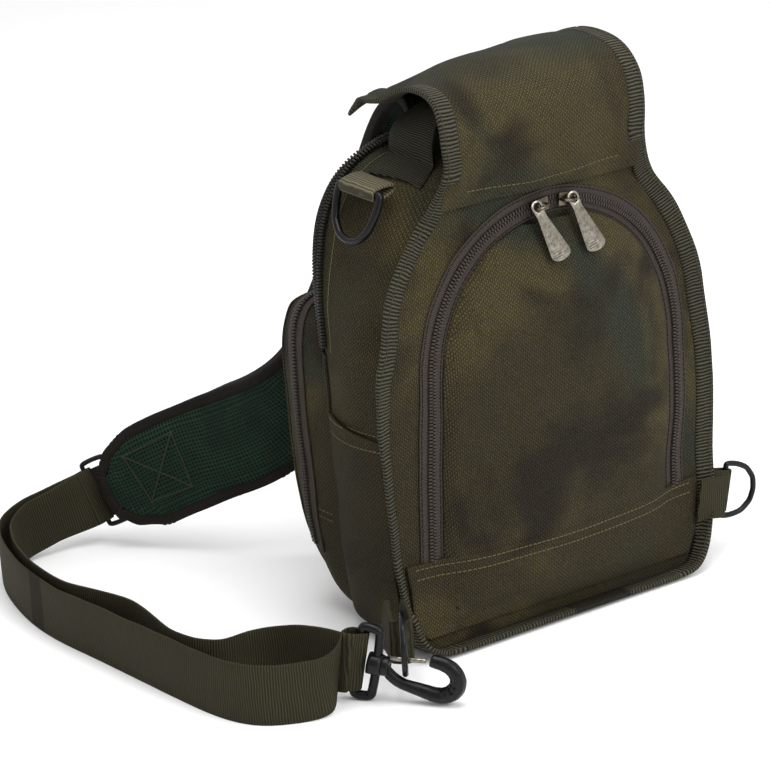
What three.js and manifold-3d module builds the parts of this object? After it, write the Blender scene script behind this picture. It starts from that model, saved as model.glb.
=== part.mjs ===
// A fishing tackle sling bag standing on the floor, with its shoulder pad and strap laid out beside it.
// Millimetres. X to the bag's left-hand to right-hand side as seen from the front, Y to the back, Z up.
// The origin is the middle of the base, on the floor.
import * as THREE from 'three';
import Module from 'manifold-3d';

const wasm = await Module();
wasm.setup();

// Driving sizes of the bag
const BODY_HALF_WIDTH = 122;
const BODY_HEIGHT = 318;
const FRONT_REACH = 52;
const BACK_REACH = 42;
const CLOTH = 2;
const GAP = 0.3;
const FRONT_BULGE = 7;

// Rear compartment
const REAR_HEIGHT = 218;
const REAR_REACH = 79;
const REAR_BULGE = 8;
const REAR_SIDE_BULGE = 4;

// Flap over the top
const SEAM_HEIGHT = 287;
const FLAP_HEIGHT = 369;
const FLAP_HALF_WIDTH = 66;
const FLAP_REACH = 60;
const FLAP_DROOP = 14;
const FLAP_SAG = 11;

// Front pocket with its arched zip
const ARCH_HALF_WIDTH = 99;
const ARCH_FOOT = 62;
const ARCH_SPRING = 170;
const ARCH_TOP = 278;
const ARCH_LEAN = 7;
const ZIP_TAPE_HALF = 8;
const ZIP_COIL_HALF = 3;
const ZIP_COIL_HEIGHT = 3;
const POCKET_BULGE = 12;
const BAND_FOOT = 7;

// Edge binding, webbing and seams
const BINDING_WIDTH = 12;
const BINDING_THICK = 3;
const WEBBING = 38;
const WEBBING_THICK = 1.6;
const TAB_WEBBING = 28;
const SHOULDER_WEBBING = 36;
const SHOULDER_ROW = 13.7;
const SHOULDER_SHARE = 0.6;
const SHOULDER_STANDOFF = 5;
const SHOULDER_REACH = 14;
const SHOULDER_DROP = 3;
const MAIN_ZIP_LIFT = 5;
const WELT_LIFT = 2;
const SIDE_POCKET_HEIGHT = 148;
const SIDE_POCKET_SLACK = 2;
const HANDLE_HEIGHT = 347;
const HANDLE_DEPTH = 38;

// Shoulder pad
const PAD_BINDING = 6;
const PAD_SEAM = 1.5;

// Hardware
const ADJUSTER_ROD = 3.6;
const ADJUSTER_HALF = 23;
const ADJUSTER_DEPTH = 18;
const RING_ROD = 4;
const RING_CLEARANCE = 0.5;
const RING_SIDE = 4;
const RING_SHARE = 0.9;
const LOOP_RADIUS = 4;
const HOOK_ROD = 7;
const GATE_ROD = 3;
const BARREL_RADIUS = 6.5;
const FRAME_ROD = 5;
const FRAME_HALF = 22;
const FRAME_DEPTH = 14;
const PULL_LENGTH = 40;
const PULL_WIDTH = 10;
const PULL_THICK = 1.6;

const colours = {
  cloth: [0x3c3624, 0.9, 0],
  webbing: [0x32322a, 0.85, 0],
  tape: [0x463e3a, 0.85, 0],
  mesh: [0x233e2a, 0.9, 0],
  plastic: [0x1c1c20, 0.45, 0],
  nickel: [0xaaa59b, 0.4, 1],
};

const bag = new THREE.Group();

function add(name, geometry, colour) {
  const [color, roughness, metalness] = colours[colour];
  const material = new THREE.MeshStandardMaterial({ color, roughness, metalness });
  const mesh = new THREE.Mesh(geometry, material);
  mesh.name = name;
  bag.add(mesh);
}

const point = (x, y, z) => new THREE.Vector3(x, y, z);
const mix = THREE.MathUtils.lerp;

// A closed body from points and triangles, turned so that its faces point out
function solid(points, faces) {
  let volume = 0;
  for (let i = 0; i < faces.length; i += 3) {
    const [a, b, c] = [points[faces[i]], points[faces[i + 1]], points[faces[i + 2]]];
    volume += a.dot(new THREE.Vector3().crossVectors(b, c));
  }
  const geometry = new THREE.BufferGeometry().setFromPoints(points);
  geometry.setIndex(volume < 0 ? [...faces].reverse() : faces);
  geometry.computeVertexNormals();
  return geometry;
}

// A wall between two facing grids of points; a wrapped grid joins its last row to its first
function wall(outer, inner, wrap = false) {
  const rows = outer.length;
  const columns = outer[0].length;
  const at = (side, i, j) => (side * rows + (i % rows)) * columns + j;
  const faces = [];
  const quad = (a, b, c, d) => faces.push(a, b, c, a, c, d);
  const last = columns - 1;
  for (let i = 0; i < (wrap ? rows : rows - 1); i++) {
    for (let j = 0; j < last; j++) {
      quad(at(0, i, j), at(0, i, j + 1), at(0, i + 1, j + 1), at(0, i + 1, j));
      quad(at(1, i, j), at(1, i + 1, j), at(1, i + 1, j + 1), at(1, i, j + 1));
    }
    quad(at(0, i, 0), at(0, i + 1, 0), at(1, i + 1, 0), at(1, i, 0));
    quad(at(0, i, last), at(1, i, last), at(1, i + 1, last), at(0, i + 1, last));
  }
  for (let j = 0; !wrap && j < last; j++) {
    quad(at(0, 0, j), at(1, 0, j), at(1, 0, j + 1), at(0, 0, j + 1));
    quad(at(0, rows - 1, j), at(0, rows - 1, j + 1), at(1, rows - 1, j + 1), at(1, rows - 1, j));
  }
  return solid([...outer.flat(), ...inner.flat()], faces);
}

// A wall that follows a surface, given as a function of row, column and lift off the surface
function sheet(surface, rows, columns, low, high, wrap = false) {
  const grid = (lift) => rows.map((u) => columns.map((v) => surface(u, v, lift)));
  return wall(grid(high), grid(low), wrap);
}

const steps = (from, to, count) => Array.from({ length: count + 1 }, (_, i) => mix(from, to, i / count));

// A bar of one section swept through stations; each has a place and two directions across the bar
function bar(stations, section, closed) {
  const count = section.length;
  const points = stations.flatMap(({ place, across, up }) =>
    section.map(([a, b]) => place.clone().addScaledVector(across, a).addScaledVector(up, b)));
  const faces = [];
  const rings = stations.length;
  for (let i = 0; i < (closed ? rings : rings - 1); i++) {
    for (let j = 0; j < count; j++) {
      const [a, b] = [i * count + j, i * count + ((j + 1) % count)];
      const next = ((i + 1) % rings) * count - i * count;
      faces.push(a, b, b + next, a, b + next, a + next);
    }
  }
  for (let j = 1; !closed && j < count - 1; j++) {
    const end = (rings - 1) * count;
    faces.push(0, j + 1, j, end, end + j, end + j + 1);
  }
  return solid(points, faces);
}

const rectangle = (a0, a1, b0, b1) => [[a0, b0], [a1, b0], [a1, b1], [a0, b1]];
const disc = (radius, sides = 8) => steps(0, 2 * Math.PI, sides).slice(0, sides)
  .map((angle) => [radius * Math.cos(angle), radius * Math.sin(angle)]);

// Stations along a curve, with one direction across it held near a given one
function along(curve, count, upAt, closed = false) {
  return steps(0, 1, count).slice(0, closed ? count : count + 1).map((t) => {
    const tangent = curve.getTangent(t);
    const across = new THREE.Vector3().crossVectors(tangent, upAt(t)).normalize();
    const up = new THREE.Vector3().crossVectors(across, tangent).normalize();
    return { place: curve.getPoint(t), across, up };
  });
}

const smooth = (points, closed = false) => new THREE.CatmullRomCurve3(points, closed, 'centripetal');

// Joining and cutting closed bodies
function body(geometry) {
  const vertProperties = new Float32Array(geometry.getAttribute('position').array);
  const triVerts = new Uint32Array(geometry.getIndex().array);
  const mesh = new wasm.Mesh({ numProp: 3, vertProperties, triVerts });
  mesh.merge();
  return new wasm.Manifold(mesh);
}

function geometryOf(manifold) {
  const mesh = manifold.getMesh();
  const geometry = new THREE.BufferGeometry();
  geometry.setAttribute('position', new THREE.BufferAttribute(new Float32Array(mesh.vertProperties), 3));
  geometry.setIndex(new THREE.BufferAttribute(new Uint32Array(mesh.triVerts), 1));
  geometry.computeVertexNormals();
  return geometry;
}

const join = (...geometries) => geometryOf(geometries.map(body).reduce((a, b) => a.add(b)));

// The side wall's outline at its front edge, its middle and its back edge, from the base up to the top.
// Columns, as shares of the half-width, the height and the reach: front width, front height, front reach,
// middle width, middle height, back width, back height, back reach
const OUTLINE = [
  [0.00, 0.000, 0.97, 0.00, 0.000, 0.00, 0.000, 0.52],
  [0.37, 0.000, 0.97, 0.40, 0.000, 0.37, 0.000, 0.52],
  [0.72, 0.000, 0.97, 0.78, 0.000, 0.69, 0.000, 0.52],
  [0.86, 0.016, 0.96, 0.93, 0.009, 0.85, 0.016, 0.55],
  [0.925, 0.057, 0.91, 0.99, 0.044, 0.92, 0.050, 0.57],
  [0.96, 0.126, 0.88, 1.02, 0.126, 0.96, 0.126, 0.57],
  [0.985, 0.220, 0.84, 1.04, 0.236, 0.98, 0.236, 0.57],
  [1.00, 0.346, 0.81, 1.05, 0.377, 0.99, 0.377, 0.57],
  [1.00, 0.472, 0.79, 1.05, 0.487, 0.99, 0.503, 0.57],
  [0.975, 0.582, 0.78, 1.03, 0.597, 0.98, 0.597, 0.62],
  [0.925, 0.676, 0.76, 1.00, 0.692, 0.965, 0.686, 0.81],
  [0.845, 0.755, 0.74, 0.94, 0.770, 0.95, 0.761, 0.95],
  [0.745, 0.815, 0.73, 0.85, 0.843, 0.925, 0.824, 1.00],
  [0.655, 0.865, 0.73, 0.75, 0.902, 0.87, 0.887, 1.00],
  [0.58, 0.912, 0.73, 0.655, 0.945, 0.77, 0.934, 1.00],
  [0.51, 0.956, 0.71, 0.54, 0.975, 0.62, 0.962, 1.00],
  [0.37, 0.987, 0.69, 0.37, 0.993, 0.43, 0.978, 1.00],
  [0.18, 1.000, 0.69, 0.18, 1.003, 0.20, 0.984, 1.00],
  [0.00, 1.000, 0.69, 0.00, 1.003, 0.00, 0.984, 1.00],
];
const LAST_ROW = OUTLINE.length - 1;
const TURN = 2 * LAST_ROW;

// A closed outline of straight runs, right side up and left side down, from a half outline of points
function mirrored(half) {
  const left = half.slice(1, -1).reverse().map((p) => point(-p.x, p.y, p.z));
  const points = [...half, ...left];
  return (turn) => {
    const at = (turn % 1) * points.length;
    const low = Math.floor(at + 1e-9) % points.length;
    return points[low].clone().lerp(points[(low + 1) % points.length], Math.max(0, at - low));
  };
}

const frontOutline = mirrored(OUTLINE.map(([w, h, reach]) =>
  point(w * BODY_HALF_WIDTH, -reach * FRONT_REACH, h * BODY_HEIGHT)));
const middleOutline = mirrored(OUTLINE.map(([, , , w, h]) =>
  point(w * BODY_HALF_WIDTH, -0.1 * FRONT_REACH, h * BODY_HEIGHT)));
const backOutline = mirrored(OUTLINE.map(([, , , , , w, h, reach]) =>
  point(w * BODY_HALF_WIDTH, reach * BACK_REACH, h * BODY_HEIGHT)));

// Where a row of the outline table lies on the closed outline, on the right (side 1) or the left (side -1)
const turnAt = (row, side) => (side > 0 ? row / TURN : 1 - row / TURN);

// A point lifted off a surface along the way out
function lifted(surface, u, v, lift, centreHeight) {
  const step = 1e-3;
  const along = surface((u + step) % 1, v).sub(surface((u - step + 1) % 1, v));
  const across = surface(u, Math.min(v + step, 1)).sub(surface(u, Math.max(v - step, 0)));
  const out = new THREE.Vector3().crossVectors(along, across).normalize();
  const place = surface(u, v);
  const away = point(place.x, 0, place.z - centreHeight);
  return place.addScaledVector(out, out.dot(away) < 0 ? -lift : lift);
}

// The side wall's outer face at a turn round the bag and a share of the way from front to back
function sideFace(u, v) {
  const front = frontOutline(u).multiplyScalar((1 - v) * (1 - 2 * v));
  const middle = middleOutline(u).multiplyScalar(4 * v * (1 - v));
  return front.add(middle).add(backOutline(u).multiplyScalar(v * (2 * v - 1)));
}
const onSide = (u, v, lift) => lifted(sideFace, u, v, lift, BODY_HEIGHT / 2);

// Shares of the way from front to back at which the side wall and what lies on it are laid out
const ZIP_FRONT = 0.91;
const SIDE_COLUMNS = [0, 0.25, 0.5, 0.75, ZIP_FRONT, 1];
const wholeTurn = steps(0, 1, TURN).slice(0, TURN);
const inwardSide = (u, v, lift) => {
  const place = onSide(u, v, lift);
  place.z = Math.max(place.z, lift < 0 ? -lift : 0);
  if (v === 0 || v === 1) place.y = sideFace(u, v).y;
  return place;
};
add('gusset', sheet(inwardSide, wholeTurn, SIDE_COLUMNS, -CLOTH, 0, true), 'cloth');

// The front outline's half-width and depth at a height
function frontEdge(z) {
  let [low, high] = [2, LAST_ROW - 1];
  for (let i = 0; i < 24; i++) {
    const row = (low + high) / 2;
    if (frontOutline(turnAt(row, 1)).z < z) low = row;
    else high = row;
  }
  return frontOutline(turnAt((low + high) / 2, 1));
}

// The front panel's face: lift 0 is its inner face and CLOTH its outer face
function onFront(x, z, lift) {
  const edge = frontEdge(z);
  const share = Math.min(1, Math.abs(x) / edge.x);
  const bulge = FRONT_BULGE * (1 - share ** 2) * Math.sqrt(Math.sin(Math.PI * Math.min(1, z / BODY_HEIGHT)));
  return point(x, edge.y - GAP - bulge - lift, z);
}

const panelRows = steps(2, LAST_ROW - 1, LAST_ROW - 3);
function frontPanel(row, share, lift) {
  const edge = frontOutline(turnAt(row, 1));
  return onFront(share * edge.x, edge.z, lift);
}
add('front_panel', sheet(frontPanel, panelRows, steps(-1, 1, 10), 0, CLOTH), 'cloth');

// The wall between the main and the rear compartment
function innerWall(row, share, lift) {
  const edge = backOutline(turnAt(row, 1));
  return point(share * edge.x, edge.y + GAP + lift, edge.z);
}
add('back_wall', sheet(innerWall, panelRows, steps(-1, 1, 4), 0, CLOTH), 'cloth');

// The rear compartment's outline where it meets the back wall and at its back edge.
// Columns, as shares of the half-width, the height and the reach: front width, front height, front reach,
// back width, back height, back reach
const REAR_OUTLINE = [
  [0.00, 0.000, 0.322, 0.00, 0.050, 0.72],
  [0.37, 0.000, 0.322, 0.36, 0.050, 0.72],
  [0.69, 0.000, 0.322, 0.67, 0.055, 0.72],
  [0.85, 0.023, 0.332, 0.83, 0.090, 0.77],
  [0.92, 0.073, 0.336, 0.90, 0.150, 0.83],
  [0.96, 0.183, 0.336, 0.945, 0.260, 0.90],
  [0.98, 0.344, 0.336, 0.97, 0.400, 0.95],
  [0.99, 0.528, 0.336, 0.985, 0.560, 0.98],
  [0.99, 0.711, 0.336, 0.99, 0.720, 0.99],
  [0.975, 0.849, 0.358, 0.975, 0.850, 1.00],
  [0.93, 0.930, 0.409, 0.93, 0.925, 1.00],
  [0.82, 0.975, 0.443, 0.83, 0.965, 1.00],
  [0.49, 0.995, 0.460, 0.50, 0.985, 1.00],
  [0.00, 1.000, 0.463, 0.00, 0.990, 1.00],
];
const REAR_LAST = REAR_OUTLINE.length - 1;
const rearFront = mirrored(REAR_OUTLINE.map(([w, h, reach]) =>
  point(w * BODY_HALF_WIDTH, reach * REAR_REACH, h * REAR_HEIGHT)));
const rearBack = mirrored(REAR_OUTLINE.map(([, , , w, h, reach]) =>
  point(w * BODY_HALF_WIDTH, reach * REAR_REACH, h * REAR_HEIGHT)));
const rearTurnAt = (row, side) => (side > 0 ? row / (2 * REAR_LAST) : 1 - row / (2 * REAR_LAST));

function rearFace(u, v) {
  const place = rearFront(u).lerp(rearBack(u), v);
  const away = point(place.x, 0, place.z - REAR_HEIGHT / 2).normalize();
  place.addScaledVector(away, REAR_SIDE_BULGE * 4 * v * (1 - v));
  place.z = Math.max(place.z, 0);
  return place;
}
const onRear = (u, v, lift) => lifted(rearFace, u, v, lift, REAR_HEIGHT / 2);
const rearTurn = steps(0, 1, 2 * REAR_LAST).slice(0, 2 * REAR_LAST);
const inwardRear = (u, v, lift) => {
  const place = onRear(u, v, lift);
  place.y = Math.max(place.y, rearFront(u).y);
  place.z = Math.max(place.z, lift < 0 ? -lift : 0);
  return place;
};
add('rear_gusset', sheet(inwardRear, rearTurn, steps(0, 1, 3), -CLOTH, 0, true), 'cloth');

function rearPanel(row, share, lift) {
  const edge = rearBack(rearTurnAt(row, 1));
  const rise = Math.sin(Math.PI * Math.min(1, edge.z / REAR_HEIGHT));
  return point(share * edge.x, edge.y + GAP + REAR_BULGE * (1 - share ** 2) * rise + lift, edge.z);
}
add('rear_panel', sheet(rearPanel, [2, 3, 4, 5, 6, 7, 8, 9, 10, 11, 12], steps(-1, 1, 8), 0, CLOTH), 'cloth');

// Zips on the side walls, from one side over the top to the other
const MAIN_ZIP_ROW = 9;
const mainZipTurns = steps(turnAt(MAIN_ZIP_ROW, 1), turnAt(MAIN_ZIP_ROW, -1), TURN - 2 * MAIN_ZIP_ROW);
add('main_zip', sheet(onSide, mainZipTurns, [ZIP_FRONT, 1], GAP, MAIN_ZIP_LIFT), 'plastic');
const REAR_ZIP_ROW = 5;
const rearZipSteps = 2 * (REAR_LAST - REAR_ZIP_ROW);
const rearZipTurns = steps(rearTurnAt(REAR_ZIP_ROW, 1), rearTurnAt(REAR_ZIP_ROW, -1), rearZipSteps);
add('rear_zip_tape', sheet(onRear, rearZipTurns, [0.42, 0.6, 0.78], GAP, GAP + 1), 'tape');
add('rear_zip_coil', sheet(onRear, rearZipTurns, [0.54, 0.6, 0.66], 2 * GAP + 1, 2 * GAP + 1 + ZIP_COIL_HEIGHT),
  'tape');

// Welts over the joint of the two side walls, and the slip pocket on the left side
for (const [name, side] of [['welt_right', 1], ['welt_left', -1]]) {
  const turns = [3, 4, 5, 6, 7, 8, MAIN_ZIP_ROW - 0.1].map((row) => turnAt(row, side));
  add(name, sheet(onSide, turns, [ZIP_FRONT, 1], GAP, WELT_LIFT), 'cloth');
}
const pocketTopRow = OUTLINE.findIndex(([, , , , height]) => height * BODY_HEIGHT > SIDE_POCKET_HEIGHT);
function slipPocket(row, v, lift) {
  const low = OUTLINE[pocketTopRow - 1][4] * BODY_HEIGHT;
  const high = OUTLINE[pocketTopRow][4] * BODY_HEIGHT;
  const reached = Math.min(row, pocketTopRow - 1 + (SIDE_POCKET_HEIGHT - low) / (high - low));
  const slack = SIDE_POCKET_SLACK * Math.sin(Math.PI * v) * (row / pocketTopRow) ** 2;
  return onSide(turnAt(reached, -1), mix(0.05, 0.87, v), lift + slack);
}
add('side_pocket', sheet(slipPocket, steps(4, pocketTopRow, pocketTopRow - 4), steps(0, 1, 6), GAP, GAP + CLOTH),
  'cloth');

// The arch of the front zip, as places on the front panel with the way outwards, from foot to foot
function archAt(t) {
  const straight = ARCH_SPRING - ARCH_FOOT;
  const rise = ARCH_TOP - ARCH_SPRING;
  const bend = Math.PI * Math.sqrt((ARCH_HALF_WIDTH ** 2 + rise ** 2) / 2);
  const travel = t * (2 * straight + bend);
  if (travel < straight) return { x: -ARCH_HALF_WIDTH, z: ARCH_FOOT + travel, nx: -1, nz: 0 };
  if (travel > straight + bend) {
    return { x: ARCH_HALF_WIDTH, z: ARCH_FOOT + 2 * straight + bend - travel, nx: 1, nz: 0 };
  }
  const angle = Math.PI * (1 - (travel - straight) / bend);
  const out = new THREE.Vector2(Math.cos(angle) * rise, Math.sin(angle) * ARCH_HALF_WIDTH).normalize();
  return {
    x: ARCH_HALF_WIDTH * Math.cos(angle), z: ARCH_SPRING + rise * Math.sin(angle), nx: out.x, nz: out.y,
  };
}
const archLean = (z) => ARCH_LEAN * THREE.MathUtils.clamp((z - ARCH_FOOT) / (ARCH_SPRING - ARCH_FOOT), 0, 1);
function onArch(t, offset, lift) {
  const { x, z, nx, nz } = archAt(t);
  return onFront(x + archLean(z) + offset * nx, z + offset * nz, CLOTH + GAP + lift);
}
const archTurns = steps(0, 1, 34);
add('front_zip_tape', sheet(onArch, archTurns, [-ZIP_TAPE_HALF, 0, ZIP_TAPE_HALF], 0, 1), 'tape');
add('front_zip_coil', sheet(onArch, archTurns, [-ZIP_COIL_HALF, ZIP_COIL_HALF], 1 + GAP, 1 + GAP + ZIP_COIL_HEIGHT),
  'tape');

// The pocket's face inside the arch, bulging forward
const POCKET_TOP = ARCH_TOP - ZIP_TAPE_HALF - GAP;
function pocketBulge(x, z) {
  const rise = Math.max(0, z - ARCH_SPRING) / (POCKET_TOP - ARCH_SPRING);
  const half = (ARCH_HALF_WIDTH - ZIP_TAPE_HALF - GAP) * Math.sqrt(Math.max(0.02, 1 - rise ** 2));
  const share = Math.min(1, Math.abs(x) / half);
  return { half, depth: POCKET_BULGE * Math.sqrt(1 - share ** 2) * Math.min(1, 3 * (1 - rise)) };
}
function pocketFace(height, share, lift) {
  const { half } = pocketBulge(0, height);
  const x = share * half;
  const { depth } = pocketBulge(x, height);
  return onFront(x + archLean(height), height, CLOTH + GAP + depth + lift);
}
const pocketHeights = [...steps(ARCH_FOOT + GAP, ARCH_SPRING, 4),
  ...[0.3, 0.55, 0.75, 0.88, 0.96].map((share) => mix(ARCH_SPRING, POCKET_TOP, share))];
const pocketShares = [-1, -0.93, -0.8, -0.6, -0.3, 0, 0.3, 0.6, 0.8, 0.93, 1];
add('front_pocket', sheet(pocketFace, pocketHeights, pocketShares, 0, CLOTH), 'cloth');

// The band across the foot of the front, following the pocket's bulge at its hem
function bottomBand(height, share, lift) {
  const x = share * (frontEdge(height).x - 2);
  const swell = Math.min(1, (height - BAND_FOOT) / (ARCH_FOOT - BAND_FOOT));
  const { depth } = pocketBulge(x, ARCH_FOOT);
  return onFront(x, height, CLOTH + GAP + depth * Math.sqrt(swell) + lift);
}
const bandShares = [-1, -0.86, -0.76, -0.66, -0.5, -0.25, 0, 0.25, 0.5, 0.66, 0.76, 0.86, 1];
add('bottom_band', sheet(bottomBand, steps(BAND_FOOT, ARCH_FOOT, 4), bandShares, 0, CLOTH), 'cloth');

// The flap: from the seam on the front, over the top and down behind; shares of its reach and its height
const FLAP_PROFILE = [
  [-0.83, 0.000], [-0.86, 0.22], [-0.89, 0.52], [-0.78, 0.78], [-0.47, 0.95], [0.00, 1.00],
  [0.43, 0.96], [0.77, 0.87], [1.00, 0.75],
];
const FLAP_FOOT = SEAM_HEIGHT + GAP;
const flapProfile = smooth(FLAP_PROFILE.map(([reach, rise], i) => {
  const seam = onFront(0, FLAP_FOOT, CLOTH + GAP).y;
  return point(0, i === 0 ? seam : reach * FLAP_REACH, mix(FLAP_FOOT, FLAP_HEIGHT, rise));
}));
function onFlap(t, share, lift) {
  const place = flapProfile.getPoint(t);
  const tangent = flapProfile.getTangent(t);
  const out = point(0, -tangent.z, tangent.y).normalize();
  const droop = FLAP_DROOP * Math.abs(share) ** 4 * Math.max(0, (t - 0.6) / 0.4);
  const sag = FLAP_SAG * Math.max(0, -share) ** 2 * THREE.MathUtils.smoothstep(t, 0.35, 0.65);
  place.addScaledVector(out, lift);
  place.x = share * FLAP_HALF_WIDTH;
  place.z -= droop + sag;
  return place;
}
const flapTurns = steps(0, 1, 14);
const flapShares = steps(-1, 1, 8);
add('flap', sheet(onFlap, flapTurns, flapShares, 0, CLOTH), 'cloth');

// The binding: one tape round the foot of the front, up both sides and round the flap's free edges
function bindingStations() {
  const stations = [];
  const station = (place, across, towards) => {
    stations.push({ place, across: across.normalize(), towards });
  };
  const lastRow = 13;
  const sideTurns = flapTurns.slice(2, -1);
  const onPanel = (row, side) => {
    const u = turnAt(row, side);
    const tangent = frontOutline(u + 0.5 / TURN).sub(frontOutline(u - 0.5 / TURN + 1)).normalize();
    const edge = frontOutline(u);
    const out = point(side * Math.abs(tangent.z), 0, -Math.abs(tangent.x));
    if (row > 8) out.z = Math.abs(tangent.x);
    const low = THREE.MathUtils.clamp(1 - (edge.z - 8) / 40, 0, 1);
    const across = point(out.x * (1 - low), mix(-0.25, -1, low), Math.max(0, out.z) * (1 - low) + 0.12 * low);
    across.normalize();
    const clear = mix(GAP + 0.5, CLOTH + GAP, low);
    const place = point(edge.x, edge.y - CLOTH / 2 - GAP, Math.max(edge.z, BINDING_THICK / 2 + GAP));
    station(place.addScaledVector(across, clear), across);
  };
  const onEdge = (t, side) => {
    const place = onFlap(t, side, CLOTH / 2);
    station(place.add(point(side * GAP, 0, 0)), point(side, 0, 0));
  };
  for (let row = 0; row <= lastRow; row++) onPanel(row, 1);
  for (const t of sideTurns) onEdge(t, 1);
  const hem = flapProfile.getTangent(1);
  for (const share of flapShares.slice().reverse()) {
    const away = hem.clone();
    if (Math.abs(share) === 1) away.x = share;
    station(onFlap(1, share, CLOTH / 2).addScaledVector(away, Math.abs(share) === 1 ? 4 * GAP : GAP), away);
  }
  for (const t of sideTurns.slice().reverse()) onEdge(t, -1);
  for (let row = lastRow; row > 0; row--) onPanel(row, -1);
  return stations.map(({ place, across }, i) => {
    const next = stations[(i + 1) % stations.length].place;
    const previous = stations[(i + stations.length - 1) % stations.length].place;
    const tangent = next.clone().sub(previous).normalize();
    const up = new THREE.Vector3().crossVectors(tangent, across).normalize();
    return { place, across, up };
  });
}
const bindingSection = rectangle(0, BINDING_WIDTH, -BINDING_THICK / 2, BINDING_THICK / 2);
add('edge_binding', bar(bindingStations(), bindingSection, true), 'webbing');

// The grab handle: webbing sewn to both shoulders and standing up between them under the flap
const HANDLE_ROWS = [14, 15];
function handleAt([part, at], v, lift) {
  if (part !== 'arch') return onSide(turnAt(at, part === 'right' ? 1 : -1), v, GAP + lift);
  const side = at < 0.5 ? 1 : -1;
  const foot = onSide(turnAt(HANDLE_ROWS[1], side), v, GAP);
  const angle = at * Math.PI;
  const x = side * Math.abs(foot.x) * Math.abs(Math.cos(angle)) ** 0.5;
  const out = point(Math.cos(angle), 0, Math.sin(angle)).normalize();
  const rise = Math.sin(angle) ** 0.7;
  return point(x, mix(foot.y, HANDLE_DEPTH * (2 * v - 1), rise), mix(foot.z, HANDLE_HEIGHT, rise))
    .addScaledVector(out, lift);
}
const handleTurns = [...HANDLE_ROWS.map((row) => ['right', row]), ...steps(0.03, 0.97, 20).map((at) => ['arch', at]),
  ...HANDLE_ROWS.slice().reverse().map((row) => ['left', row])];
add('grab_handle', sheet(handleAt, handleTurns, [0.25, 0.5, 0.75], 0, WEBBING_THICK), 'webbing');

// A ring: a straight bar with a round bow, at a place, along and away from its bar
const RING_BOW = [[-1, 0], [-0.6, 0], [0.6, 0], [1, 0], [1, 0.34], [0.84, 0.68], [0.46, 0.93], [0, 1], [-0.46, 0.93], [-0.84, 0.68],
  [-1, 0.34]];
function ring(place, along, away, webbing) {
  const half = webbing / 2 + RING_SIDE;
  const depth = webbing * RING_SHARE;
  const corners = RING_BOW.map(([a, b]) =>
    place.clone().addScaledVector(along, a * half).addScaledVector(away, b * depth));
  const path = new THREE.CatmullRomCurve3(corners, true, 'catmullrom', 0.3);
  const normal = new THREE.Vector3().crossVectors(along, away).normalize();
  return rod(path, 24, normal, disc(RING_ROD / 2, 6), true);
}
function rod(path, count, normal, section, closed) {
  return bar(along(path, count, () => normal, closed), section, closed);
}

// A webbing tab folded round a ring's bar: two plies from the bar back to the seam
function tab(place, along, back, webbing, length, spread) {
  const inner = RING_ROD / 2 + RING_CLEARANCE;
  const normal = new THREE.Vector3().crossVectors(along, back).normalize();
  const fold = steps(Math.PI / 2, (3 * Math.PI) / 2, 6);
  const layer = (radius) => [
    [length, spread / 2 + radius - inner], [length / 2, radius],
    ...fold.map((angle) => [radius * Math.cos(angle), radius * Math.sin(angle)]),
    [length / 2, -radius], [length, -spread / 2 - radius + inner],
  ].map(([a, n]) => [-0.5, 0.5].map((share) => place.clone()
    .addScaledVector(back, a).addScaledVector(normal, n).addScaledVector(along, share * webbing)));
  return wall(layer(inner + WEBBING_THICK), layer(inner));
}

// The ring on the left shoulder, hanging from its tab against the side
const shoulderFoot = onSide(turnAt(SHOULDER_ROW, -1), SHOULDER_SHARE, SHOULDER_STANDOFF);
const shoulder = shoulderFoot.clone().add(point(-SHOULDER_REACH, 0, -SHOULDER_DROP));
const shoulderUp = shoulderFoot.clone().sub(shoulder).normalize();
const shoulderBar = point(0, 1, 0);
const shoulderDown = point(-0.36, 0, -1).normalize();
add('side_ring', ring(shoulder, shoulderBar, shoulderDown, SHOULDER_WEBBING), 'plastic');
add('side_ring_tab', tab(shoulder, shoulderBar, shoulderUp, SHOULDER_WEBBING, SHOULDER_REACH, 1), 'webbing');

// The ring on the right-hand foot, on a tab that stands out from the side seam
const rightFoot = point(146, -42, 43);
const rightBack = point(-0.98, 0.08, 0.2).normalize();
const rightBar = new THREE.Vector3().crossVectors(rightBack, point(0, 1, 0)).normalize();
add('corner_ring_right', ring(rightFoot, rightBar, rightBack.clone().negate(), TAB_WEBBING), 'plastic');
add('corner_tab_right', tab(rightFoot, rightBar, rightBack, TAB_WEBBING, 25.3, 3), 'webbing');

// The ring on the left-hand foot, on a tab that stands out towards the front, held by the snap hook
const leftFoot = point(-146.1, -81.7, 32.4);
const leftBar = point(0, 0, 1);
add('corner_ring_left', ring(leftFoot, leftBar, point(-0.545, -0.839, 0).normalize(), TAB_WEBBING), 'plastic');
add('corner_tab_left', tab(leftFoot, leftBar, point(0.503, 0.864, 0).normalize(), TAB_WEBBING, 32, 3), 'webbing');

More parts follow.
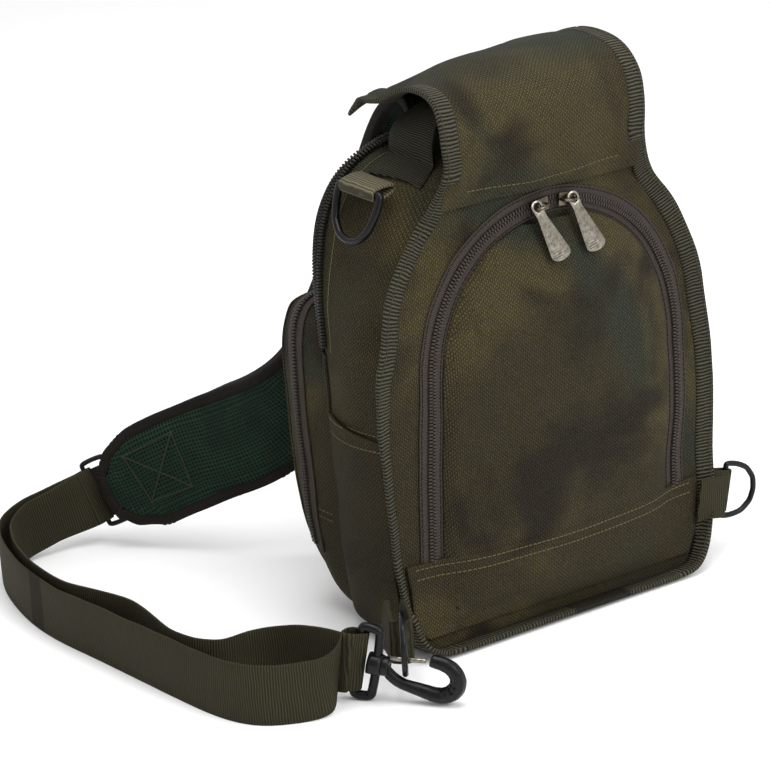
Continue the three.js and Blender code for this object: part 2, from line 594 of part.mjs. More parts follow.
// The snap hook: along is its long way, from the strap's bar to the nose, and rise is up across its eye
const HOOK = point(-167.7, -86.5, 24);
const hookAlong = point(0.64, -0.745, -0.19).normalize();
const hookRise = point(0, 0, 1).addScaledVector(hookAlong, -hookAlong.z).normalize();
const hookSide = new THREE.Vector3().crossVectors(hookAlong, hookRise);
const onHook = (a, b) => HOOK.clone().addScaledVector(hookAlong, a).addScaledVector(hookRise, b);
function hookCylinder(from, to, radius) {
  return rod(new THREE.LineCurve3(onHook(from, 0), onHook(to, 0)), 1, hookSide, disc(radius, 12), false);
}
const framePath = new THREE.CatmullRomCurve3([
  onHook(-FRAME_DEPTH, -FRAME_HALF), onHook(-FRAME_DEPTH, FRAME_HALF), onHook(-3, FRAME_HALF), onHook(-2, 10),
  onHook(-2, -10), onHook(-3, -FRAME_HALF),
], true, 'catmullrom', 0.2);
const frameLoop = rod(framePath, 28, hookSide, disc(FRAME_ROD / 2, 6), true);
add('hook_frame', join(frameLoop, hookCylinder(-7, 1, BARREL_RADIUS)), 'plastic');

// Hook body: its route through the eye, as places along and across
const HOOK_ROUTE = [[4, -2], [9, -6], [16, -9], [28, -10.3], [40, -11], [47.5, -7], [50.5, 0], [47, 7.5], [40, 10.8],
  [32, 11.4]];
const hookCurve = smooth(HOOK_ROUTE.map(([a, b]) => onHook(a, b)));
const hookRod = rod(hookCurve, 16, hookSide, disc(HOOK_ROD / 2, 8), false);
const hookHead = hookCylinder(1 + GAP, 6, BARREL_RADIUS - 0.5);
add('hook_body', join(hookRod, hookHead), 'plastic');
const gatePath = new THREE.LineCurve3(onHook(6 + GAP, 6), onHook(28, 10));
add('hook_gate', rod(gatePath, 1, hookSide, disc(GATE_ROD / 2, 8), false), 'nickel');

// The shoulder pad: from the seam under the flap, over and down behind the bag, and out to its free end.
// Columns: x, y and z of the centre line, half-width, half-thickness, and the way of its width (x, y, z)
const PAD_ROUTE = [
  [6, 48, 292, 42, 1.6, 1, 0, 0],
  [6, 49.5, 312, 42, 2.6, 1, 0, 0],
  [6, 54, 325, 42, 3.4, 1, 0, 0],
  [6, 65, 329, 41, 4, 1, 0, 0],
  [4, 79, 320, 40, 4.4, 1, 0.05, 0],
  [0, 93, 293, 38, 5, 1, 0, -0.12],
  [-8, 106, 253, 37, 5, 0.97, 0, -0.25],
  [-24, 117, 210, 36.5, 5, 0.93, 0, -0.36],
  [-42, 125, 167, 36.5, 5, 0.88, -0.02, -0.45],
  [-60, 131, 134, 36.5, 5, 0.8, -0.08, -0.58],
  [-80, 142, 110, 36.5, 5, 0.5, -0.12, -0.8],
  [-101, 168, 89, 36.5, 5, 0, 0.05, -0.95],
  [-124, 199, 71, 36.5, 5, -0.25, 0.15, -0.95],
  [-149, 229, 53, 36, 5, -0.22, 0.15, -0.95],
  [-162, 243, 43.5, 28, 4, -0.2, 0.12, -0.95],
  [-169.5, 251, 38.5, 15, 3, -0.2, 0.1, -0.95],
];
const padCentre = smooth(PAD_ROUTE.map(([x, y, z]) => point(x, y, z)));
function padColumn(column, t) {
  const at = t * (PAD_ROUTE.length - 1);
  const low = Math.min(Math.floor(at), PAD_ROUTE.length - 2);
  return mix(PAD_ROUTE[low][column], PAD_ROUTE[low + 1][column], at - low);
}
function padFrame(t) {
  const tangent = padCentre.getTangent(t);
  const across = point(padColumn(5, t), padColumn(6, t), padColumn(7, t));
  across.addScaledVector(tangent, -across.dot(tangent)).normalize();
  const out = new THREE.Vector3().crossVectors(tangent, across).normalize();
  return { place: padCentre.getPoint(t), across, out, half: padColumn(3, t), thick: padColumn(4, t) };
}
function padRim(t, side, inset) {
  const rim = (at) => {
    const { place, across, half } = padFrame(at);
    return place.addScaledVector(across, side * half);
  };
  const { across, out } = padFrame(t);
  const run = rim(Math.min(1, t + 0.01)).sub(rim(Math.max(0, t - 0.01)));
  const outward = new THREE.Vector3().crossVectors(run, out).normalize();
  if (outward.dot(across) * side < 0) outward.negate();
  if (t === 1) outward.addVectors(across.clone().multiplyScalar(side * 0.6), padCentre.getTangent(1)).normalize();
  return { place: rim(t).addScaledVector(outward, -inset), outward, out };
}
function onPad(t, share, lift) {
  const { out, thick } = padFrame(t);
  const [left, right] = [-1, 1].map((side) => padRim(t, side, PAD_BINDING + PAD_SEAM).place);
  const crown = thick * (1 - 0.35 * share ** 4);
  return left.lerp(right, (share + 1) / 2).addScaledVector(out, lift * crown);
}
const padTurns = steps(0, 1, 3 * (PAD_ROUTE.length - 1));
add('shoulder_pad', sheet(onPad, padTurns, [-1, -0.8, -0.3, 0.3, 0.8, 1], -1, 1), 'mesh');

// The pad's binding: one tape along both edges and round the free end
const padEnd = padFrame(1);
const padWay = padCentre.getTangent(1);
const rimStation = (t, side) => {
  const { place, outward, out } = padRim(t, side, PAD_BINDING);
  return { place, across: outward, up: out };
};
const padBindingStations = [...padTurns.map((t) => rimStation(t, 1)), ...padTurns.slice().reverse()
  .map((t) => rimStation(t, -1))];
add('pad_binding', bar(padBindingStations, rectangle(0, PAD_BINDING, -3, 3), false), 'webbing');

// The adjuster behind the pad's free end, and the webbing that holds it to the pad
const adjusterUp = padEnd.across.clone().negate();
const adjusterBar = point(-170.5, 267.7, 33.3);
const onAdjuster = (a, b) => adjusterBar.clone().addScaledVector(padWay, a).addScaledVector(adjusterUp, b);
const adjusterPath = new THREE.CatmullRomCurve3([
  onAdjuster(-ADJUSTER_DEPTH, -ADJUSTER_HALF), onAdjuster(-ADJUSTER_DEPTH, ADJUSTER_HALF),
  onAdjuster(0, ADJUSTER_HALF), onAdjuster(0, -ADJUSTER_HALF),
], true, 'catmullrom', 0.1);
add('adjuster', rod(adjusterPath, 24, padEnd.out, disc(ADJUSTER_ROD / 2, 6), true), 'plastic');
const padBack = padWay.clone().negate().addScaledVector(padEnd.out, 0.12).normalize();
add('pad_tab', tab(onAdjuster(-ADJUSTER_DEPTH, 0), adjusterUp, padBack, WEBBING, 26, 1), 'webbing');

// The strap: one loop of webbing on edge, round the adjuster's bar and round the hook's bar.
// Columns: x, y and height of the middle of the webbing
const OUTER_PLY = [
  [-205.4, 272, 27.3], [-229, 272, 22], [-250, 259, 20], [-263, 236, 19.4], [-272, 205, 19.2], [-278, 165, 19.2],
  [-278, 130, 19.2], [-273, 88, 19.2], [-267, 35, 19.2], [-262, -8, 19.2], [-256, -42, 19.2], [-245, -65, 19.2],
  [-224, -79, 19.4], [-203, -83, 21],
];
const INNER_PLY = [
  [-192, -50, 24], [-198, -31, 20.5], [-207, -20, 19.4], [-220, -16, 19.2], [-238, -16, 19.2],
  [-251, -4, 19.2], [-256, 16, 19.2], [-253, 45, 19.2], [-252, 72, 19.2], [-256, 96, 19.2], [-265, 124, 19.2],
  [-270, 150, 19.2], [-269, 180, 19.2], [-264, 207, 19.2], [-256, 232, 19.4], [-245, 252, 20], [-228, 264, 22.5],
  [-206, 264, 28],
];
function loopRound(barPlace, towards, barWay) {
  const aside = new THREE.Vector3().crossVectors(towards, barWay).normalize();
  return [[9, 1], [2, 1], [-0.7, 0.7], [-1, 0], [-0.7, -0.7], [2, -1], [9, -1]].map(([a, b]) =>
    barPlace.clone().addScaledVector(towards, a > 0 ? a : a * LOOP_RADIUS).addScaledVector(aside, b * LOOP_RADIUS));
}
const hookBar = onHook(-FRAME_DEPTH, 0);
const hookTurn = loopRound(hookBar, point(-0.9, 0.4, 0.1).normalize(), hookRise);
const adjusterTurn = loopRound(adjusterBar, point(-0.98, 0.05, -0.25).normalize(), adjusterUp.clone().negate());
const ply = (rows) => rows.map(([x, y, z]) => point(x, y, z));
const strapCurve = smooth([...adjusterTurn, ...ply(OUTER_PLY), ...hookTurn, ...ply(INNER_PLY)], true);
function strapUp(t) {
  const place = strapCurve.getPoint(t);
  const near = (target) => 1 - THREE.MathUtils.smoothstep(place.distanceTo(target), 8, 32);
  return point(0, 0, 1).lerp(hookRise, near(hookBar)).lerp(adjusterUp, near(adjusterBar)).normalize();
}
const strapStations = along(strapCurve, 92, strapUp, true);
add('strap', bar(strapStations, rectangle(-WEBBING_THICK / 2, WEBBING_THICK / 2, -WEBBING / 2, WEBBING / 2), true),
  'webbing');

// Sliders and pulls of the front zip
const BLOCK = 1.8;
const BRIDGE = 4.2;
function slider(t) {
  const { x, z, nx, nz } = archAt(t);
  const out = point(nx, 0, nz);
  const run = point(nz, 0, -nx);
  const seat = onArch(t, 0, 1 + 2 * GAP + ZIP_COIL_HEIGHT);
  const forward = point(0, -1, 0);
  const block = bar([-6, -2, 4, 7].map((a, i) => ({
    place: seat.clone().addScaledVector(run, a), across: out, up: forward,
  })), rectangle(-4.2, 4.2, 0, BLOCK), false);
  const loop = smooth([[-5, 1], [-4.3, BRIDGE + 1.4], [0, BRIDGE + 2.6], [4.3, BRIDGE + 1.4], [5, 1]].map(([a, h]) =>
    seat.clone().addScaledVector(run, a).addScaledVector(forward, h)));
  return { seat, run, out, forward, geometry: join(block, rod(loop, 8, out, disc(1, 6), false)) };
}
function pull(seat, run, slide, lean, tilt) {
  const eye = seat.clone().addScaledVector(run, slide).add(point(0, -BRIDGE, 0));
  const down = point(Math.sin(lean), -Math.sin(tilt), -Math.cos(lean)).normalize();
  const face = point(0, -1, 0).addScaledVector(down, down.y).normalize();
  const across = new THREE.Vector3().crossVectors(down, face).normalize();
  const outline = new THREE.Shape();
  outline.absarc(0, 0, 5, 0, Math.PI, false);
  outline.lineTo(-3.4, -6);
  outline.lineTo(-PULL_WIDTH / 2, -PULL_LENGTH + 8);
  outline.absarc(0, -PULL_LENGTH + 8, PULL_WIDTH / 2, Math.PI, 2 * Math.PI, false);
  outline.lineTo(3.4, -6);
  const hole = new THREE.Path();
  hole.absarc(0, 0.4, 3.2, 0, 2 * Math.PI, true);
  outline.holes.push(hole);
  const geometry = new THREE.ExtrudeGeometry(outline, { depth: PULL_THICK, bevelEnabled: false, curveSegments: 6 });
  const placed = new THREE.Matrix4().makeBasis(across.clone().negate(), down.clone().negate(), face);
  placed.setPosition(eye.addScaledVector(face, -PULL_THICK / 2));
  geometry.applyMatrix4(placed);
  return geometry;
}
for (const [side, t, slide, lean] of [['left', 0.476, -3.4, 0.32], ['right', 0.518, 3.4, 0.3]]) {
  const { seat, run, geometry } = slider(t);
  add(`slider_${side}`, geometry, 'nickel');
  add(`zip_pull_${side}`, pull(seat, run, slide, lean, 0.26), 'nickel');
}

export default bag;
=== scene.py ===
# %% [markdown]
# # A fishing tackle sling bag
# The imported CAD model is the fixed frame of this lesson. Each cloth, webbing and hardware piece below is
# dressed where the frame puts it, so nothing is measured or fitted a second time.

# %% Load the frame
import heapq
import math
import random

import bpy
import numpy as np
from mathutils import Matrix, Vector, noise
from mathutils.bvhtree import BVHTree


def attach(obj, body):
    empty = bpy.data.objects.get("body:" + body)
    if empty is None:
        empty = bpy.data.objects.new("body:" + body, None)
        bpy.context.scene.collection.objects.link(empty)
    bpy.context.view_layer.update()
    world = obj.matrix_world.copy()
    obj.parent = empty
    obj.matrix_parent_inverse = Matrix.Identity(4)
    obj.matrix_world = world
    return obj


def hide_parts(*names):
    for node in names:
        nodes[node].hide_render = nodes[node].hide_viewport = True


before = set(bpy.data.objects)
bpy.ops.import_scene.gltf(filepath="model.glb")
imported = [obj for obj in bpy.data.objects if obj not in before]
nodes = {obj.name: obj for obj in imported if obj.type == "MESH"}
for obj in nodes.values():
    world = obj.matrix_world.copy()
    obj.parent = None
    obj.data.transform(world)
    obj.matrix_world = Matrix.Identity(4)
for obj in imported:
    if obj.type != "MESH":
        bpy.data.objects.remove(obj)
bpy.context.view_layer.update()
MM = 0.001
shuffle = random.Random(7)

# %% [markdown]
# ## Camera, light and floor
# A product photograph on white is taken with a long lens, from a little above the bag's left corner. The
# camera stands where the fitted picture says, and big soft lights hang in front, above and to the side.

# %% Camera
view = bpy.data.cameras.new("camera")
view.lens = 140.26
view.sensor_width = 36
view.clip_end = 20
camera = bpy.data.objects.new("camera", view)
bpy.context.scene.collection.objects.link(camera)
TURN, TILT, ROLL = (math.radians(a) for a in (33.0, 19.4, -3.5))
ahead = Vector((math.sin(TURN) * math.cos(TILT), math.cos(TURN) * math.cos(TILT), -math.sin(TILT)))
level = Vector((math.cos(TURN), -math.sin(TURN), 0))
above = level.cross(ahead)
right = level * math.cos(ROLL) + above * math.sin(ROLL)
up = above * math.cos(ROLL) - level * math.sin(ROLL)
place = Vector((-1.0752, -1.5092, 0.8006))
camera.matrix_world = Matrix((
    (right.x, up.x, -ahead.x, place.x), (right.y, up.y, -ahead.y, place.y),
    (right.z, up.z, -ahead.z, place.z), (0, 0, 0, 1)))
bpy.context.scene.camera = camera
print("camera", tuple(round(v, 3) for v in camera.location))

# %% Lights and floor
world = bpy.data.worlds.new("studio")
world.use_nodes = True
sky = world.node_tree
facing = sky.nodes.new("ShaderNodeTexCoord")
parts = sky.nodes.new("ShaderNodeSeparateXYZ")
dim = sky.nodes.new("ShaderNodeMapRange")
dim.inputs["From Min"].default_value = -0.9
dim.inputs["From Max"].default_value = 0.1
dim.inputs["To Min"].default_value = 0.45
dim.inputs["To Max"].default_value = 0.95
sky.links.new(facing.outputs["Generated"], parts.inputs[0])
sky.links.new(parts.outputs["X"], dim.inputs["Value"])
sky.links.new(dim.outputs[0], sky.nodes["Background"].inputs["Strength"])
sky.nodes["Background"].inputs["Color"].default_value = (1, 1, 1, 1)
bpy.context.scene.world = world
bpy.context.scene.view_settings.view_transform = "Standard"


def soft_light(name, at, size, watts):
    lamp = bpy.data.lights.new(name, "AREA")
    lamp.size = size
    lamp.energy = watts
    holder = bpy.data.objects.new(name, lamp)
    holder.location = at
    holder.rotation_euler = (Vector((0, 0, 0.15)) - Vector(at)).to_track_quat("-Z", "Y").to_euler()
    bpy.context.scene.collection.objects.link(holder)


soft_light("front_light", (0.5, -1.9, 1.5), 1.2, 24)
soft_light("top_light", (-0.1, -0.2, 2.2), 1.4, 30)
soft_light("side_light", (-2.0, 0.2, 0.9), 1.2, 4)
bpy.ops.mesh.primitive_plane_add(size=12, location=(0, 0, -0.0004))
floor = bpy.context.object
floor.name = "studio_floor"
bpy.ops.object.transform_apply(location=True, rotation=True, scale=True)

# %% [markdown]
# ## Finishes
# Bag cloth is a coarse woven nylon, so its colour, its blotches and its threads are three layers. The weave
# is one node group that both cloth finishes use, each with the thread size it is given.


# %% Helpers for materials
def new_group(name, inputs, outputs):
    group = bpy.data.node_groups.new(name, "ShaderNodeTree")
    for label, kind, value in inputs:
        socket = group.interface.new_socket(name=label, in_out="INPUT", socket_type=kind)
        if value is not None:
            socket.default_value = value
    for label, kind in outputs:
        group.interface.new_socket(name=label, in_out="OUTPUT", socket_type=kind)
    return group, group.nodes.new("NodeGroupInput"), group.nodes.new("NodeGroupOutput")


def node(tree, kind, values=None, **settings):
    made = tree.nodes.new(kind)
    for label, value in settings.items():
        setattr(made, label, value)
    for label, value in (values or {}).items():
        if hasattr(value, "is_output"):
            tree.links.new(value, made.inputs[label])
        else:
            made.inputs[label].default_value = value
    return made


def maths(tree, operation, a, b=0.0, c=0.0):
    made = tree.nodes.new("ShaderNodeMath")
    made.operation = operation
    for slot, value in enumerate((a, b, c)):
        if hasattr(value, "is_output"):
            tree.links.new(value, made.inputs[slot])
        else:
            made.inputs[slot].default_value = value
    return made.outputs[0]


def blend_colour(tree, share, a, b):
    made = tree.nodes.new("ShaderNodeMix")
    made.data_type = "RGBA"
    for slot, value in ((0, share), (6, a), (7, b)):
        if hasattr(value, "is_output"):
            tree.links.new(value, made.inputs[slot])
        else:
            made.inputs[slot].default_value = value
    return made.outputs[2]


def tone(red, green, blue):
    linear = [c / 255 / 12.92 if c <= 10 else ((c / 255 + 0.055) / 1.055) ** 2.4 for c in (red, green, blue)]
    return (*linear, 1)


# %% The weave group: threads over and under, from a flat coordinate in metres
weave, weave_in, weave_out = new_group("weave", [
    ("Vector", "NodeSocketVector", None), ("Thread", "NodeSocketFloat", 0.0011)],
    [("Height", "NodeSocketFloat"), ("Gap", "NodeSocketFloat"), ("Over", "NodeSocketFloat")])
split = node(weave, "ShaderNodeSeparateXYZ", {"Vector": weave_in.outputs["Vector"]})
across = maths(weave, "DIVIDE", split.outputs[0], weave_in.outputs["Thread"])
along = maths(weave, "DIVIDE", split.outputs[1], weave_in.outputs["Thread"])
checker = maths(weave, "MODULO", maths(weave, "ADD", maths(weave, "FLOOR", across), maths(weave, "FLOOR", along)), 2)
checker = maths(weave, "ABSOLUTE", checker)
hump = [maths(weave, "ABSOLUTE", maths(weave, "SINE", maths(weave, "MULTIPLY", way, math.pi)))
        for way in (across, along)]
over = maths(weave, "MULTIPLY", hump[0], checker)
under = maths(weave, "MULTIPLY", hump[1], maths(weave, "SUBTRACT", 1, checker))
height = maths(weave, "ADD", over, under)
weave.links.new(height, weave_out.inputs["Height"])
# The gap is the low ground between the threads; the cloth finish darkens it there as painted shade.
gap = maths(weave, "SUBTRACT", 1, maths(weave, "MINIMUM", maths(weave, "MULTIPLY", height, 2.0), 1))
weave.links.new(gap, weave_out.inputs["Gap"])
weave.links.new(maths(weave, "MULTIPLY", over, height), weave_out.inputs["Over"])

# %% The blotch group: a soft-edged field pattern of four tones with a layout of its own
blotch, blotch_in, blotch_out = new_group("blotch", [
    ("Vector", "NodeSocketVector", None), ("Ground", "NodeSocketColor", (0, 0, 0, 1)),
    ("Light", "NodeSocketColor", (0, 0, 0, 1)), ("Slate", "NodeSocketColor", (0, 0, 0, 1)),
    ("Dark", "NodeSocketColor", (0, 0, 0, 1))], [("Color", "NodeSocketColor")])
colour = blotch_in.outputs["Ground"]
for label, offset, scale, low, high in (
        ("Light", 3.1, 9, 0.48, 0.64), ("Slate", 5.2, 7, 0.5, 0.68), ("Dark", 12.9, 11, 0.52, 0.66)):
    moved = node(blotch, "ShaderNodeVectorMath", {0: blotch_in.outputs["Vector"], 1: (offset, offset, offset)})
    cloud = node(blotch, "ShaderNodeTexNoise", {
        "Vector": moved.outputs[0], "Scale": scale, "Detail": 3, "Roughness": 0.55, "Distortion": 0.4})
    edge = node(blotch, "ShaderNodeMapRange", {
        "Value": cloud.outputs[0], "From Min": low, "From Max": high}, interpolation_type="SMOOTHSTEP")
    colour = blend_colour(blotch, edge.outputs[0], colour, blotch_in.outputs[label])
blotch.links.new(colour, blotch_out.inputs["Color"])


# %% [markdown]
# Cloth reads a flat map of the piece in metres for its threads, and the object's own coordinates for its
# blotches, so the pattern runs on over the seams as it does on cut cloth.


# %% Cloth, webbing and tape finishes
def material(name, roughness, metallic=0.0):
    made = bpy.data.materials.new(name)
    made.use_nodes = True
    shader = made.node_tree.nodes["Principled BSDF"]
    shader.inputs["Roughness"].default_value = roughness
    shader.inputs["Metallic"].default_value = metallic
    return made, made.node_tree, shader


def flat_map(tree):
    return node(tree, "ShaderNodeUVMap", uv_map="flat").outputs[0]


def group_node(tree, group, values):
    made = tree.nodes.new("ShaderNodeGroup")
    made.node_tree = group
    for label, value in values.items():
        if hasattr(value, "is_output"):
            tree.links.new(value, made.inputs[label])
        else:
            made.inputs[label].default_value = value
    return made


def bump(tree, shader, height, distance, strength=1.0):
    lift = node(tree, "ShaderNodeBump", {"Height": height, "Distance": distance, "Strength": strength})
    tree.links.new(lift.outputs[0], shader.inputs["Normal"])


def cloth_finish(name, ground, light, slate, dark, thread=0.00135):
    made, tree, shader = material(name, 0.85)
    spot = node(tree, "ShaderNodeTexCoord").outputs["Object"]
    pattern = group_node(tree, blotch, {
        "Vector": spot, "Ground": ground, "Light": light, "Slate": slate, "Dark": dark})
    threads = group_node(tree, weave, {"Vector": flat_map(tree), "Thread": thread})
    grain = node(tree, "ShaderNodeTexNoise", {"Vector": spot, "Scale": 700, "Detail": 3})
    shade = maths(tree, "MULTIPLY_ADD", grain.outputs[0], 1.2, 0.3)
    weft = maths(tree, "MULTIPLY_ADD", threads.outputs["Over"], 0.75, 0.62)
    # Painted shade: the gaps between threads are darkened by up to 0.45. The over threads are a lighter tone than the
    # under threads, and the grain noise is random tone.
    shade = maths(tree, "MULTIPLY", shade, maths(tree, "MULTIPLY_ADD", threads.outputs["Gap"], -0.45, weft))
    tint = node(tree, "ShaderNodeVectorMath", {0: pattern.outputs[0]}, operation="SCALE")
    tree.links.new(shade, tint.inputs["Scale"])
    tree.links.new(tint.outputs[0], shader.inputs["Base Color"])
    shader.inputs["Specular IOR Level"].default_value = 0.18
    bump(tree, shader, threads.outputs["Height"], 0.0005, 0.9)
    return made


cloth = cloth_finish("camouflage_cloth", tone(60, 53, 35), tone(77, 69, 43), tone(50, 54, 43), tone(43, 36, 25))
# The inside cloth is the camouflage cloth at about six tenths of its tones: a darker copy that paints the shade inside
# the bag.
shaded_lining = cloth_finish("cloth_inside_shaded", tone(36, 32, 23), tone(42, 38, 26), tone(32, 34, 29), tone(26, 23, 17))


def rib_finish(name, low, high, pitch, depth, attribute="run"):
    made, tree, shader = material(name, 0.8)
    run = node(tree, "ShaderNodeAttribute", attribute_name=attribute).outputs["Fac"]
    spot = node(tree, "ShaderNodeTexCoord").outputs["Object"]
    sway = node(tree, "ShaderNodeTexNoise", {"Vector": spot, "Scale": 130, "Detail": 1})
    run = maths(tree, "MULTIPLY_ADD", sway.outputs[0], 0.8 * pitch, run)
    wave = maths(tree, "SINE", maths(tree, "MULTIPLY", run, 2 * math.pi / pitch))
    wave = maths(tree, "MULTIPLY_ADD", wave, 0.5, 0.5)
    fuzz = node(tree, "ShaderNodeTexNoise", {"Vector": spot, "Scale": 1100, "Detail": 2})
    patches = node(tree, "ShaderNodeTexNoise", {"Vector": spot, "Scale": 16, "Detail": 2})
    # The rib wave paints shade into the grooves, towards the low tone, and a highlight onto the rib crests, towards the
    # high tone; the fuzz and the patches are the webbing's own uneven tone.
    share = maths(tree, "MULTIPLY_ADD", fuzz.outputs[0], 0.7, maths(tree, "MULTIPLY_ADD", wave, 0.9, -0.4))
    share = maths(tree, "MULTIPLY", share, maths(tree, "MULTIPLY_ADD", patches.outputs[0], 0.6, 0.7))
    colour = blend_colour(tree, share, low, high)
    tree.links.new(colour, shader.inputs["Base Color"])
    shader.inputs["Specular IOR Level"].default_value = 0.15
    bump(tree, shader, maths(tree, "MULTIPLY_ADD", fuzz.outputs[0], 0.3, wave), depth, 0.9)
    return made


# For each webbing below, the low tone is painted groove shade and the high tone a painted rib highlight.
binding_finish = rib_finish("grosgrain_binding", tone(16, 15, 11), tone(84, 81, 66), 0.0023, 0.0009)
webbing_finish = rib_finish("strap_webbing", tone(30, 28, 19), tone(62, 58, 40), 0.0017, 0.0003)
handle_finish = rib_finish("handle_webbing", tone(18, 18, 14), tone(66, 64, 52), 0.0020, 0.0004)
tab_finish = rib_finish("tab_webbing", tone(54, 51, 39), tone(112, 106, 85), 0.0018, 0.0003)
# Near-black webbing: painted shadow for the web at the adjuster.
shadow_webbing = rib_finish("shaded_webbing", tone(18, 16, 12), tone(40, 37, 27), 0.0017, 0.0003)
trim_finish = rib_finish("pad_trim", tone(17, 14, 11), tone(36, 31, 25), 0.0014, 0.0002)
tape_finish = rib_finish("zip_tape", tone(42, 36, 33), tone(78, 69, 64), 0.0010, 0.0002)


# %% Spacer mesh, plastic, nickel, thread and floor
def mesh_finish():
    made, tree, shader = material("spacer_mesh", 0.75)
    flat = flat_map(tree)
    cells = node(tree, "ShaderNodeTexVoronoi", {"Vector": flat, "Scale": 400, "Randomness": 0.0},
                 voronoi_dimensions="2D")
    hole = node(tree, "ShaderNodeMapRange", {
        "Value": cells.outputs["Distance"], "From Min": 0.22, "From Max": 0.42})
    clump = node(tree, "ShaderNodeTexNoise", {"Vector": flat, "Scale": 60, "Detail": 2})
    yarn = blend_colour(tree, clump.outputs[0], tone(15, 26, 19), tone(32, 62, 42))
    # The holes are near black: painted shade inside the mesh.
    colour = blend_colour(tree, hole.outputs[0], tone(6, 9, 7), yarn)
    tree.links.new(colour, shader.inputs["Base Color"])
    shader.inputs["Specular IOR Level"].default_value = 0.15
    bump(tree, shader, hole.outputs[0], 0.0009, 1.0)
    return made


def plastic_finish():
    made, tree, shader = material("moulded_plastic", 0.38)
    spot = node(tree, "ShaderNodeTexCoord").outputs["Object"]
    scuff = node(tree, "ShaderNodeTexNoise", {"Vector": spot, "Scale": 260, "Detail": 4})
    tree.links.new(blend_colour(tree, scuff.outputs[0], tone(5, 5, 6), tone(18, 18, 21)), shader.inputs["Base Color"])
    tree.links.new(maths(tree, "MULTIPLY_ADD", scuff.outputs[0], 0.3, 0.16), shader.inputs["Roughness"])
    shader.inputs["Specular IOR Level"].default_value = 0.22
    bump(tree, shader, scuff.outputs[0], 0.0001, 0.5)
    return made


def nickel_finish(name, bright, aged):
    made, tree, shader = material(name, 0.32, 1.0)
    spot = node(tree, "ShaderNodeTexCoord").outputs["Object"]
    patina = node(tree, "ShaderNodeTexNoise", {"Vector": spot, "Scale": 420, "Detail": 5, "Roughness": 0.65})
    mask = node(tree, "ShaderNodeMapRange", {"Value": patina.outputs[0], "From Min": 0.35, "From Max": 0.75})
    tree.links.new(blend_colour(tree, mask.outputs[0], bright, aged), shader.inputs["Base Color"])
    tree.links.new(maths(tree, "MULTIPLY_ADD", patina.outputs[0], 0.3, 0.15), shader.inputs["Roughness"])
    bump(tree, shader, patina.outputs[0], 0.00005, 0.5)
    return made


def plain_finish(name, low, high, scale, roughness):
    made, tree, shader = material(name, roughness)
    spot = node(tree, "ShaderNodeTexCoord").outputs["Object"]
    fleck = node(tree, "ShaderNodeTexNoise", {"Vector": spot, "Scale": scale, "Detail": 2})
    tree.links.new(blend_colour(tree, fleck.outputs[0], low, high), shader.inputs["Base Color"])
    shader.inputs["Specular IOR Level"].default_value = 0.2
    return made


spacer_mesh = mesh_finish()
plastic = plastic_finish()
nickel = nickel_finish("antique_nickel", tone(158, 152, 140), tone(74, 69, 60))
bronze = nickel_finish("aged_slider", tone(112, 104, 90), tone(46, 42, 36))
thread = plain_finish("olive_thread", tone(66, 61, 40), tone(108, 100, 68), 800, 0.8)
edge_thread = plain_finish("edge_thread", tone(44, 42, 33), tone(72, 69, 55), 800, 0.8)
mesh_thread = plain_finish("mesh_thread", tone(30, 34, 26), tone(56, 60, 46), 800, 0.8)
dark_thread = plain_finish("black_thread", tone(14, 14, 13), tone(34, 33, 29), 800, 0.8)
coil_finish = plain_finish("zip_coil", tone(34, 30, 28), tone(70, 62, 57), 500, 0.5)
black_coil = plain_finish("main_zip_coil", tone(16, 15, 13), tone(46, 43, 36), 500, 0.5)
floor.data.materials.append(plain_finish("studio_paper", tone(246, 246, 246), tone(250, 250, 250), 2, 0.9))
print("finishes", len(bpy.data.materials))

# %% [markdown]
# ## Soft copies
# The real bag is sewn from flat cloth, and the frame already holds its shape in flat facets. Each soft piece
# is a copy of its node: the doubles are merged, the facets are subdivided, and one field of small dents moves
# them all, so that neighbours stay together.

# %% The field of dents that every soft piece shares
HARDWARE = [Vector(p) * MM for p in ((8, -50, 262), (-104, 2, 290), (150, -42, 43), (-146, -82, 32),
                                     (-166, -87, 24), (-172, 262, 38))]
DENTS = (
    ((-122, -33, 205), (1, 0, 0), 15, 5.0), ((-116, 6, 250), (1, 0, 0), 26, 3.0),
    ((-122, -10, 180), (-1, 0, 0), 18, 2.0), ((-124, -20, 90), (1, 0, 0), 30, 3.0),
    ((-68, 22, 354), (0.2, 0, -1), 24, 8.0), ((-66, 60, 324), (0.5, -1, 1.1), 30, 19.0), ((66, 58, 330), (-0.3, -1, 0.8), 34, 10.0),
    ((-38, -50, 306), (0, 1, 0.3), 14, 3.0), ((6, -54, 312), (0, 1, 0.3), 15, 2.6),
    ((44, -52, 304), (0, 1, 0.3), 13, 3.2), ((-10, -50, 296), (0, -1, 0), 14, 2.0),
    ((-118, -46, 12), (-1, 0, -0.4), 20, 7.0), ((30, -58, 96), (0, 1, 0), 26, 2.2), ((-46, -60, 130), (0, 1, 0), 30, 1.6),
)


FLAP_SINK = (Vector((-12, 54, 356)) * MM, 0.046, 0.014)


def dented(spot):
    away = min((spot - at).length for at in HARDWARE)
    calm = min(1.0, max(0.0, (away - 0.018) / 0.03))
    calm *= min(1.0, max(0.0, (spot.z - 0.004) / 0.03))
    move = noise.noise_vector(spot * 15) * 0.0022 + noise.noise_vector(spot * 42) * 0.0006
    move *= calm
    for centre, way, reach, depth in DENTS:
        distance = (spot - Vector(centre) * MM).length / (reach * MM)
        move += Vector(way).normalized() * (depth * MM * math.exp(-distance * distance))
    middle, reach, depth = FLAP_SINK
    above = min(1.0, max(0.0, (spot.z - 0.33) / 0.014))
    move.z -= depth * above * math.exp(-((spot - middle).length / reach) ** 2)
    moved = spot + move
    moved.z = max(moved.z, min(spot.z, 0.0003))
    return moved


# %% Copying a node and walking along a ribbon of it
def only(thing):
    bpy.ops.object.select_all(action="DESELECT")
    thing.select_set(True)
    bpy.context.view_layer.objects.active = thing


